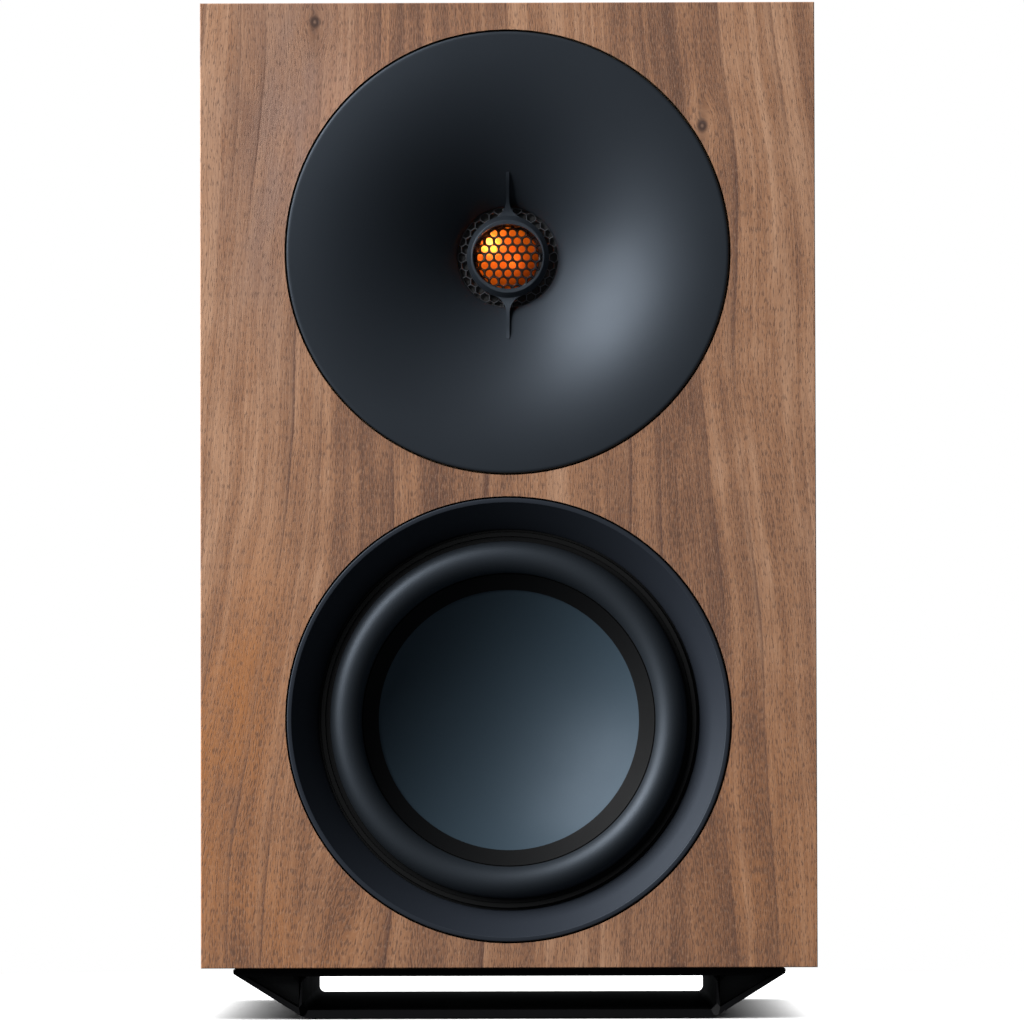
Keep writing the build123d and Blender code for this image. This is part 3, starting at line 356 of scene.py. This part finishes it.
# Needled polyester felt: soft grey-white fibre, no gloss.
finish_cad(grained("needled_felt", "#9a9a92", "#7d7d76", 0.95, 1.2 * MM, 0.4 * MM), "damping_wadding")

# ================================================================ horn
# Satin paint on moulded ABS: near-black slate, with one broad soft highlight of a cool tone.
COOL_GLOSS = linear("#dcecff")
satin_paint = grained("satin_black_paint", "#1a1e23", "#171b20", 0.53, 0.25 * MM, 0.003 * MM,
                      Specular_Tint=COOL_GLOSS, Specular_IOR_Level=0.47)
HORN_DEPTH = 33.0
HORN_POWER = 2.3
HORN_RIM_R = 88.6
THROAT_R = 20.3


def flare(radius):
    """Depth of the horn's front at a radius, in millimetres."""
    return HORN_DEPTH * (max(HORN_RIM_R - radius, 0) / (HORN_RIM_R - THROAT_R)) ** HORN_POWER


FLARE_STEPS = 90
flare_line = [(r, flare(r)) for r in (88.0 + (20.9 - 88.0) * step / FLARE_STEPS for step in range(FLARE_STEPS + 1))]
horn_outline = [(88.58, 8.0), (88.58, 0.55), (88.4, 0.22), (88.0, 0.02)] + flare_line[1:] + [
    (20.5, flare(20.5) + 0.05), (20.3, flare(20.3) + 0.5), (20.3, 36.0), (38.0, 36.0), (38.0, 28.0), (60.0, 9.0),
    (79.6, 8.0)]
stand_for(lathe("horn", horn_outline, horn_centre, satin_paint), "waveguide")
finish_cad(satin_paint, "phase_ring")

# ================================================================ tweeter's honeycomb and dome
CELL_PITCH = 3.76
RIDGE_W = 0.26  # front edge of a wall between cells
LIT_RIDGE_R = 10.2  # wall edges are grey metal outside this radius, painted highlight, and black inside it, painted shade
CELL_HOLE_R = 1.45
CELL_DEPTH = 1.0
PATCH_R = 12.4  # the grille is domed out to here, then drops to its flat rim
GRILLE_R = 20.15
GRILLE_CROWN = 31.0
GRILLE_RIM = 34.0
CELL_SIDES = 12


def grille_depth(radius):
    """Depth of the grille's front at a radius, in millimetres."""
    domed = GRILLE_CROWN + 1.5 * (radius / PATCH_R) ** 2
    drop = min(max((radius - PATCH_R) / 1.6, 0), 1)
    return domed + (GRILLE_RIM - domed) * drop * drop * (3 - 2 * drop)


def cell_rings():
    """The rings of one cell from its front border to its back one: share of the hexagon, round radius, depth."""
    ridge = 1 - RIDGE_W / CELL_PITCH
    return ((1.0, None, 0.0), (ridge, None, 0.0), (ridge * 0.93, None, 0.25), (None, CELL_HOLE_R + 0.15, 0.6),
            (None, CELL_HOLE_R, 0.8), (None, CELL_HOLE_R + 0.1, CELL_DEPTH), (1.0, None, CELL_DEPTH))


def honeycomb(name, centre, wall, ridge):
    """Perforated sheet of hexagonal cells that funnel to round openings, cut to a circle."""
    vertices, faces, on_ridge, known = [], [], [], {}
    reach = int(GRILLE_R / CELL_PITCH) + 2
    spots = [(CELL_PITCH * (q + r / 2), CELL_PITCH * r * sqrt(3) / 2) for q in range(-reach, reach + 1)
             for r in range(-reach, reach + 1)]
    rings = cell_rings()
    for cell_x, cell_z in (spot for spot in spots if hypot(*spot) < GRILLE_R + 0.5):
        loops = []
        for layer, (share, round_r, deep) in enumerate(rings):
            loop = []
            for side in range(CELL_SIDES):
                angle = 2 * pi * side / CELL_SIDES
                to_flat = (angle + pi / 6) % (pi / 3) - pi / 6
                out = round_r or share * CELL_PITCH / 2 / cos(to_flat)
                x, z = cell_x + out * cos(angle), cell_z + out * sin(angle)
                limit = GRILLE_R - 0.08 * min(layer, len(rings) - 1 - layer)
                shrink = min(1, limit / hypot(x, z))
                key = (round(x * shrink, 3), round(z * shrink, 3), layer)
                if key not in known:
                    known[key] = len(vertices)
                    depth = grille_depth(hypot(x, z) * shrink) + deep
                    vertices.append((centre.x + x * shrink * MM, centre.y + depth * MM, centre.z + z * shrink * MM))
                loop.append(known[key])
            loops.append(loop)
        for layer in range(len(loops) - 1):
            for side in range(CELL_SIDES):
                after = (side + 1) % CELL_SIDES
                faces.append((loops[layer][side], loops[layer][after], loops[layer + 1][after], loops[layer + 1][side]))
                # Front edges of walls outside the middle take the grey metal: painted highlight.
                on_ridge.append(layer == 0 and hypot(cell_x, cell_z) > LIT_RIDGE_R)
    front_edges = {}
    front = {known[key] for key in known if key[2] == 0}
    for face in faces:
        if face[0] in front and face[1] in front:
            edge = (min(face[:2]), max(face[:2]))
            front_edges[edge] = front_edges.get(edge, 0) + 1
    front_to_back = {known[key]: known[key[:2] + (len(rings) - 1,)] for key in known if key[2] == 0}
    for (first, second), uses in front_edges.items():
        if uses == 1:
            faces.append((first, second, front_to_back[second], front_to_back[first]))
            on_ridge.append(False)
    piece = mesh_piece(name, vertices, faces, wall)
    piece.data.materials.append(ridge)
    return piece, on_ridge


# Pressed steel honeycomb, blackened. The front edges of its walls are grey metal outside the middle, a painted
# highlight where they catch the light, and black over the middle, painted shade.
black_steel = grained("blackened_steel", "#0d0e10", "#08090a", 0.5, 0.2 * MM, 0.01 * MM)
ridge_highlight_steel = grained("grey_ridge_painted_highlight", "#85888e", "#6d7076", 0.36, 0.2 * MM, 0.01 * MM, Metallic=1.0)
grille, grille_ridges = honeycomb("honeycomb", horn_centre, black_steel, ridge_highlight_steel)
for face, first in zip(grille.data.polygons, grille_ridges):
    face.material_index = int(first)
stand_for(grille, "honeycomb_grille")

# Anodised aluminium dome: deep orange gold that turns yellow where it mirrors the light.
finish_cad(grained("gold_anodised_dome", "#ff7a14", "#f25a08", 0.38, 0.15 * MM, 0.003 * MM, Metallic=0.75),
           "tweeter_dome")

# ================================================================ woofer
DISH_R = 83.0
DISH_APEX = 37.0


def dish(radius):
    """Depth of the woofer's spherical front at a radius, in millimetres."""
    return DISH_APEX - DISH_R + sqrt(DISH_R ** 2 - radius ** 2)


trim_paint = grained("satin_black_trim_paint", "#22262d", "#1f232a", 0.52, 0.25 * MM, 0.003 * MM,
                     Specular_Tint=COOL_GLOSS, Specular_IOR_Level=0.32)
trim_outline = rounded([(88.6, 14.2, 0), (88.6, 0.0, 0.5), (86.8, 0.05, 0.25), (86.4, 0.7, 0.3), (76.6, 13.4, 1.2),
                        (76.3, 14.2, 0)], 0.3)
stand_for(lathe("trim_ring", trim_outline, woofer_centre, trim_paint), "woofer_trim_ring")

# Pressed cone skin of coated fibre: slate blue-black, satin, very fine tooth.
cone_skin = grained("coated_cone_skin", "#303e48", "#2c3a44", 0.56, 0.3 * MM, 0.004 * MM, Specular_Tint=COOL_GLOSS,
                    Specular_IOR_Level=0.38)
dish_line = [(58.4 * step / 72, dish(58.4 * step / 72) + 0.5) for step in range(73)]
stand_for(lathe("cone_dish", sheet_outline(dish_line, 1.0), woofer_centre, cone_skin), "woofer_cone",
          "woofer_cone_assembly")

# Nitrile rubber, moulded: dark grey with a fine powdery grain and a dull sheen.
rubber = grained("moulded_rubber", "#1d2126", "#171b1f", 0.52, 0.4 * MM, 0.05 * MM, Specular_Tint=COOL_GLOSS)
# The same rubber, blacker and duller where its flanges are stuck down: a thin film of glue, and painted shade of the
# hollows at the foot of the roll.
flange_rubber_glue_and_shade = grained("flange_rubber_glue_and_shade", "#08090b", "#060708", 0.70, 0.4 * MM, 0.05 * MM, Specular_IOR_Level=0.15)


def on_dish(radius):
    """Depth of the middle of the rubber where it lies on the cone."""
    return dish(radius) - 0.3 / sqrt(1 - (radius / DISH_R) ** 2)


ROLL_OUT, ROLL_IN, ROLL_DEPTH, ROLL_TOP = 71.4, 59.0, 12.4, 6.3


def roll_line():
    """Middle of the rubber, from its outer land over the half roll to its flange on the cone."""
    centre_r = (ROLL_OUT + ROLL_IN) / 2
    half = (ROLL_OUT - ROLL_IN) / 2
    line = [(73.3, 12.9), (72.4, 12.9), (71.9, 12.85), (71.55, 12.7)]
    for angle in (pi * step / 32 for step in range(33)):
        line.append((centre_r + half * cos(angle), ROLL_DEPTH - (ROLL_DEPTH - ROLL_TOP) * sin(angle)))
    line += [(58.85, 12.95), (58.65, 13.35), (58.3, on_dish(58.3) - 0.12)]
    return line + [(r, on_dish(r)) for r in (57.8 - 0.45 * step for step in range(13))]


surround = lathe("rubber_surround", sheet_outline(roll_line(), 0.56), woofer_centre, rubber)
surround.data.materials.append(flange_rubber_glue_and_shade)
# Faces off the roll take the near-black flange rubber: painted shade of the hollows beside it.
for face in surround.data.polygons:
    face_r = hypot(face.center.x - woofer_centre.x, face.center.z - woofer_centre.z) / MM
    face.material_index = int(not ROLL_IN - 0.2 < face_r < ROLL_OUT + 0.1)
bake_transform(surround, CABINET, "woofer_cone_assembly", start=tuple(woofer_centre + Vector((ROLL_OUT * MM, 0, 0))),
         end=tuple(woofer_centre + Vector((ROLL_IN * MM, 0, 0))))


def blend_outwards(piece, centre, inner, outer):
    """Let a ring follow the moving body at its inner radius and the fixed one at its outer radius."""
    for vertex, weight in zip(piece.data.vertices, piece.data.attributes["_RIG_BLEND"].data):
        radius = hypot(vertex.co.x - centre.x, vertex.co.z - centre.z) / MM
        share = min(max((outer - radius) / (outer - inner), 0), 1)
        weight.value = share * share * (3 - 2 * share)


blend_outwards(surround, woofer_centre, ROLL_IN, ROLL_OUT)
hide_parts("woofer_surround")

# ================================================================ port
moulded_abs = grained("moulded_black_abs", "#1b1c1e", "#151617", 0.45, 0.35 * MM, 0.02 * MM)
PORT_R = 25.0
PORT_WALL = 2.5
PORT_FLARE_R = 14.0
PORT_FLANGE_T = 2.5
port_low, port_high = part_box("port_tube")
port_in, port_out = ((corner[1] - front_face) / MM for corner in (port_low, port_high))
port_flange_r = (port_high[0] - port_low[0]) / 2 / MM
port_throat = port_out - PORT_FLARE_R
port_mouth = [(PORT_R + PORT_FLARE_R * (1 - cos(angle)), port_throat + PORT_FLARE_R * sin(angle))
              for angle in (pi / 2 * step / 24 for step in range(25))]
port_outline = port_mouth + rounded([(port_flange_r, port_out, 0.6), (port_flange_r, port_out - PORT_FLANGE_T, 0.3),
                                     (PORT_R + 11.2, port_out - PORT_FLANGE_T, 0), (PORT_R + 11.2, port_out - 5, 1),
                                     (PORT_R + PORT_WALL, port_throat - 4, 3), (PORT_R + PORT_WALL, port_in, 1),
                                     (PORT_R, port_in, 1)], 0.5)
stand_for(lathe("flared_port", port_outline, port_centre, moulded_abs), "port_tube")


# ================================================================ drivers' inner pieces
finish_cad(grained("coated_cloth", "#1c1c1c", "#141414", 0.8, 0.3 * MM, 0.05 * MM), "tweeter_surround")
finish_cad(grained("phenolic_cloth", "#b08a4a", "#94703a", 0.8, 0.5 * MM, 0.1 * MM), "woofer_spider")
finish_cad(grained("aluminium_film", "#a6a6aa", "#8f8f94", 0.35, 0.3 * MM, 0.005 * MM, Metallic=1.0),
           "woofer_former", "tweeter_former")
# Enamelled copper wire in close turns: orange-brown metal, with painted shade between the turns.
finish_cad(wound("voice_coil_wire", "#c27a4c", "#a35c32", 0.32, 0.4 * MM, "Y", 0.1 * MM, Metallic=1.0), "woofer_coil",
           "tweeter_coil")
finish_cad(wound("inductor_wire", "#b96f40", "#94512b", 0.32, 1.2 * MM, "Y", 0.4 * MM, Metallic=1.0),
           "air_core_inductor", "iron_core_inductor")
finish_cad(grained("black_powder_coat", "#0a0b0c", "#08090a", 0.6, 0.4 * MM, 0.02 * MM, Specular_IOR_Level=0.2),
           "woofer_basket")
finish_cad(grained("zinc_plated_steel", "#a9abb0", "#8b8d92", 0.3, 0.5 * MM, 0.01 * MM, Metallic=1.0),
           "woofer_top_plate", "woofer_yoke", "tweeter_top_plate", "tweeter_yoke", "post_nuts")
finish_cad(grained("ground_ferrite", "#2b2c2e", "#232426", 0.55, 0.4 * MM, 0.02 * MM), "woofer_magnet",
           "tweeter_magnet")
finish_cad(grained("black_oxide_steel", "#1a1b1d", "#101112", 0.35, 0.3 * MM, 0.01 * MM, Metallic=0.9),
           "woofer_screws", "waveguide_screws", "tweeter_screws", "terminal_screws", "foot_screws")
finish_cad(moulded_abs, "tweeter_faceplate", "tweeter_rear_cup", "terminal_cup", "woofer_terminals", "foot_end_plugs")
finish_cad(grained("closed_cell_foam", "#2b2b2b", "#202020", 0.9, 0.6 * MM, 0.1 * MM), "woofer_gasket",
           "terminal_gasket")
finish_cad(grained("gold_plated_brass", "#e0b768", "#cc9f4b", 0.22, 0.3 * MM, 0.004 * MM, Metallic=1.0), "red_post",
           "black_post", "red_washer", "black_washer")
finish_cad(grained("red_polycarbonate", "#a8181c", "#8e1014", 0.22, 0.5 * MM, 0.004 * MM), "red_cap")
finish_cad(grained("black_polycarbonate", "#141516", "#0e0f10", 0.22, 0.5 * MM, 0.004 * MM), "black_cap")
finish_cad(grained("solder_resist", "#1f5a34", "#184a2a", 0.35, 1.0 * MM, 0.02 * MM), "crossover_board")
finish_cad(grained("yellow_film_wrap", "#cdb53a", "#b89f2c", 0.3, 1.0 * MM, 0.01 * MM), "crossover_capacitors")
finish_cad(grained("pvc_insulation", "#8e1c1c", "#761414", 0.4, 0.6 * MM, 0.01 * MM), "woofer_wires",
           "tweeter_wires")

# ================================================================ foot
# Powder-coated aluminium extrusion: near black, a fine even orange-peel and a low sheen.
foot_coat = grained("black_foot_coat", "#0c0c0e", "#09090b", 0.55, 0.4 * MM, 0.012 * MM, Specular_IOR_Level=0.12)
TUNNEL_CORNER_R = 2.4 * MM


def extruded_foot():
    """The foot's extrusion with rounded inner corners along its tunnel."""
    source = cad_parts["foot_frame"]
    mesh = bpy.data.meshes.new("foot_extrusion")
    shaped = bmesh.new()
    shaped.from_mesh(source.data)
    shaped.transform(source.matrix_world)
    bmesh.ops.remove_doubles(shaped, verts=shaped.verts, dist=1e-6)
    reach = (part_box("foot_frame")[1][1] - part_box("foot_frame")[0][1]) * 0.98
    inward = [edge for edge in shaped.edges if edge.is_manifold and not edge.is_convex
              and abs(edge.verts[0].co.y - edge.verts[1].co.y) > reach
              and radians(80) < edge.calc_face_angle() < radians(100)]
    inner_x = max(abs(edge.verts[0].co.x) for edge in inward)
    corners = [edge for edge in inward if abs(abs(edge.verts[0].co.x) - inner_x) < 10 * MM]
    bmesh.ops.bevel(shaped, geom=corners, offset=TUNNEL_CORNER_R, segments=8, profile=0.5, affect="EDGES")
    shaped.to_mesh(mesh)
    shaped.free()
    mesh.materials.clear()
    mesh.materials.append(foot_coat)
    piece = bpy.data.objects.new("foot_extrusion", mesh)
    bpy.context.scene.collection.objects.link(piece)
    return piece


stand_for(extruded_foot(), "foot_frame")
finish_cad(grained("foot_rubber", "#17181a", "#101112", 0.75, 0.5 * MM, 0.03 * MM), "foot_pad")

# ================================================================ floor, lights and camera
FLOOR_R = 0.62
floor_rim = [(FLOOR_R * cos(2 * pi * i / 96), FLOOR_R * sin(2 * pi * i / 96), 0) for i in range(96)]
# Matt white card.
floor = mesh_piece("floor", floor_rim, [tuple(range(96))],
                   grained("white_card", "#f6f6f6", "#f2f2f2", 0.9, 2 * MM, 0.0002 * MM))
floor.visible_glossy = False
floor.visible_diffuse = False


def shine(name, kind, azimuth, elevation, distance, power, target, **settings):
    """Light that faces a target, from an angle to the left of the camera's line and above the floor."""
    light = bpy.data.lights.new(name, kind)
    light.energy = power
    for setting, value in settings.items():
        setattr(light, setting, value)
    lamp = bpy.data.objects.new(name, light)
    away = Vector((-sin(radians(azimuth)) * cos(radians(elevation)),
                   -cos(radians(azimuth)) * cos(radians(elevation)), sin(radians(elevation))))
    lamp.location = target + away * distance
    lamp.rotation_euler = away.to_track_quat("Z", "Y").to_euler()
    bpy.context.scene.collection.objects.link(lamp)
    return lamp


front_middle = Vector((0, front_face, (cabinet_low.z + cabinet_high.z) / 2))
key = shine("key_softbox", "AREA", 69, 31, 2.6, 265, front_middle, shape="RECTANGLE", size=2.8, size_y=2.6)
dome_middle = horn_centre + Vector((0, 0.033, 0))
shine("tweeter_spot", "SPOT", 34, 24, 1.2, 150, dome_middle, spot_size=radians(2.6), spot_blend=0.5,
      shadow_soft_size=0.05)
dome_key = shine("dome_key", "SPOT", 50, 34, 1.2, 900, dome_middle, spot_size=radians(2.6), spot_blend=0.5,
                 shadow_soft_size=0.06)
dome_fill = shine("dome_fill", "SPOT", -14, -6, 1.6, 420, dome_middle, spot_size=radians(2.2), spot_blend=0.5,
                  shadow_soft_size=0.12)
wash = shine("floor_wash", "AREA", 0, 88, 1.6, 380, Vector((0, 0, 0)), shape="RECTANGLE", size=6.0, size_y=6.0)

# The key leaves the floor to the overhead wash, so that the speaker stands on white with only a soft contact shadow.
floor_only = bpy.data.collections.new("floor_only")
floor_only.objects.link(floor)
wash.light_linking.receiver_collection = floor_only
# Two narrow lights reach the dome only, past the horn and the grille around it.
dome_only = bpy.data.collections.new("dome_only")
dome_only.objects.link(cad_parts["tweeter_dome"])
for lamp in (dome_key, dome_fill):
    lamp.light_linking.receiver_collection = dome_only
    lamp.light_linking.blocker_collection = dome_only
all_but_floor = bpy.data.collections.new("all_but_floor")
all_but_floor.objects.link(floor)
all_but_floor.collection_objects[0].light_linking.link_state = "EXCLUDE"
key.light_linking.receiver_collection = all_but_floor

world = bpy.data.worlds.new("studio")
bpy.context.scene.world = world
world.use_nodes = True
sky = world.node_tree
sky.nodes.clear()
backdrop = add(sky, "Background", {"Color": (1, 1, 1, 1), "Strength": 1.0})
studio_fill = add(sky, "Background", {"Color": linear("#e8eef4"), "Strength": 0.10})
seen = add(sky, "MixShader", {0: add(sky, "LightPath", output="Is Camera Ray"), 1: studio_fill, 2: backdrop})
add(sky, "OutputWorld", {"Surface": seen})
bpy.context.scene.view_settings.view_transform = "Standard"

CAMERA_DISTANCE = 3.144
FOCAL_PIXELS = 7873.0
FRAME_PIXELS = 1024
camera_data = bpy.data.cameras.new("camera")
camera_data.lens = FOCAL_PIXELS / FRAME_PIXELS * camera_data.sensor_width
camera_data.clip_end = 50
camera = bpy.data.objects.new("camera", camera_data)
camera.location = (0.0096, front_face - CAMERA_DISTANCE, 0.0986)
CAMERA_PITCH, CAMERA_ROLL, CAMERA_YAW = 0.03304, 0.00244, 0.00265
camera.rotation_euler = (pi / 2 + CAMERA_PITCH, CAMERA_ROLL, CAMERA_YAW)
bpy.context.scene.collection.objects.link(camera)
bpy.context.scene.camera = camera
